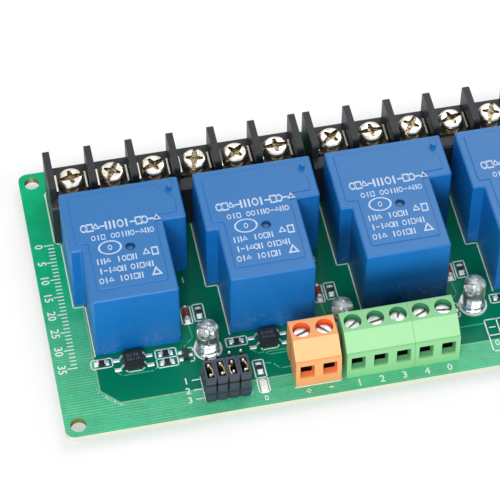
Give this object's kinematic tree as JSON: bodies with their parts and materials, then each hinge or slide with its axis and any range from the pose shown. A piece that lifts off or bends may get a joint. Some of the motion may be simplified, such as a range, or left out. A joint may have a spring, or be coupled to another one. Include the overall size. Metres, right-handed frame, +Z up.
{
  "type": "relay module board",
  "caption": "Circuit board carrying sealed power relays, barrier terminal blocks, screw terminals, status lamps and a jumper field",
  "frame": {"origin": "centre of the four mounting holes, on the underside of the board", "axes": "+X along the board's length, +Y towards the barrier terminal blocks, +Z up, away from the soldered side"},
  "size_m": [0.132, 0.075, 0.0244],
  "materials": {
    "board": "green solder mask over glass laminate",
    "solder": "soft satin solder",
    "relay_blue": "satin moulded",
    "tinned": "tinned",
    "barrier_black": "moulded",
    "brass": "plain",
    "nickel": "nickel plated",
    "terminal_orange": "moulded",
    "terminal_green": "moulded",
    "clear_lens": "clear epoxy",
    "diode_glass": "tinted glass",
    "lamp_white": "white",
    "plastic_black": "moulded"
  },
  "bodies": {
    "root": {"pcb": "board", "solder_power": "solder", "solder_signal": "solder", "relay_case_1": "relay_blue", "relay_case_2": "relay_blue", "relay_case_3": "relay_blue", "relay_case_4": "relay_blue", "relay_pins": "tinned", "barrier_housing_1": "barrier_black", "barrier_contacts_1": "brass", "barrier_plates_1": "nickel", "barrier_screws_1": "nickel", "barrier_housing_2": "barrier_black", "barrier_contacts_2": "brass", "barrier_plates_2": "nickel", "barrier_screws_2": "nickel", "supply_housing": "terminal_orange", "supply_cages": "nickel", "supply_screws": "nickel", "supply_pins": "tinned", "input_a_housing": "terminal_green", "input_a_cages": "nickel", "input_a_screws": "nickel", "input_a_pins": "tinned", "input_b_housing": "terminal_green", "input_b_cages": "nickel", "input_b_screws": "nickel", "input_b_pins": "tinned", "lamp_lens_1": "clear_lens", "lamp_lens_2": "clear_lens", "lamp_lens_3": "clear_lens", "lamp_lens_4": "clear_lens", "lamp_leads_1": "tinned", "lamp_leads_2": "tinned", "lamp_leads_3": "tinned", "lamp_leads_4": "tinned", "opto_body_1": "plastic_black", "opto_body_2": "plastic_black", "opto_body_3": "plastic_black", "opto_body_4": "plastic_black", "opto_leads_1": "tinned", "opto_leads_2": "tinned", "opto_leads_3": "tinned", "opto_leads_4": "tinned", "transistor_bodies": "plastic_black", "transistor_leads": "tinned", "diode_glass": "diode_glass", "diode_caps": "tinned", "resistor_bodies": "plastic_black", "resistor_ends": "tinned", "power_lamp": "lamp_white", "header_insulator": "plastic_black", "header_pins": "tinned", "jumper_cap_1": "plastic_black", "jumper_cap_2": "plastic_black", "jumper_cap_3": "plastic_black", "jumper_cap_4": "plastic_black", "jumper_clips": "brass"}
  },
  "joints": []
}
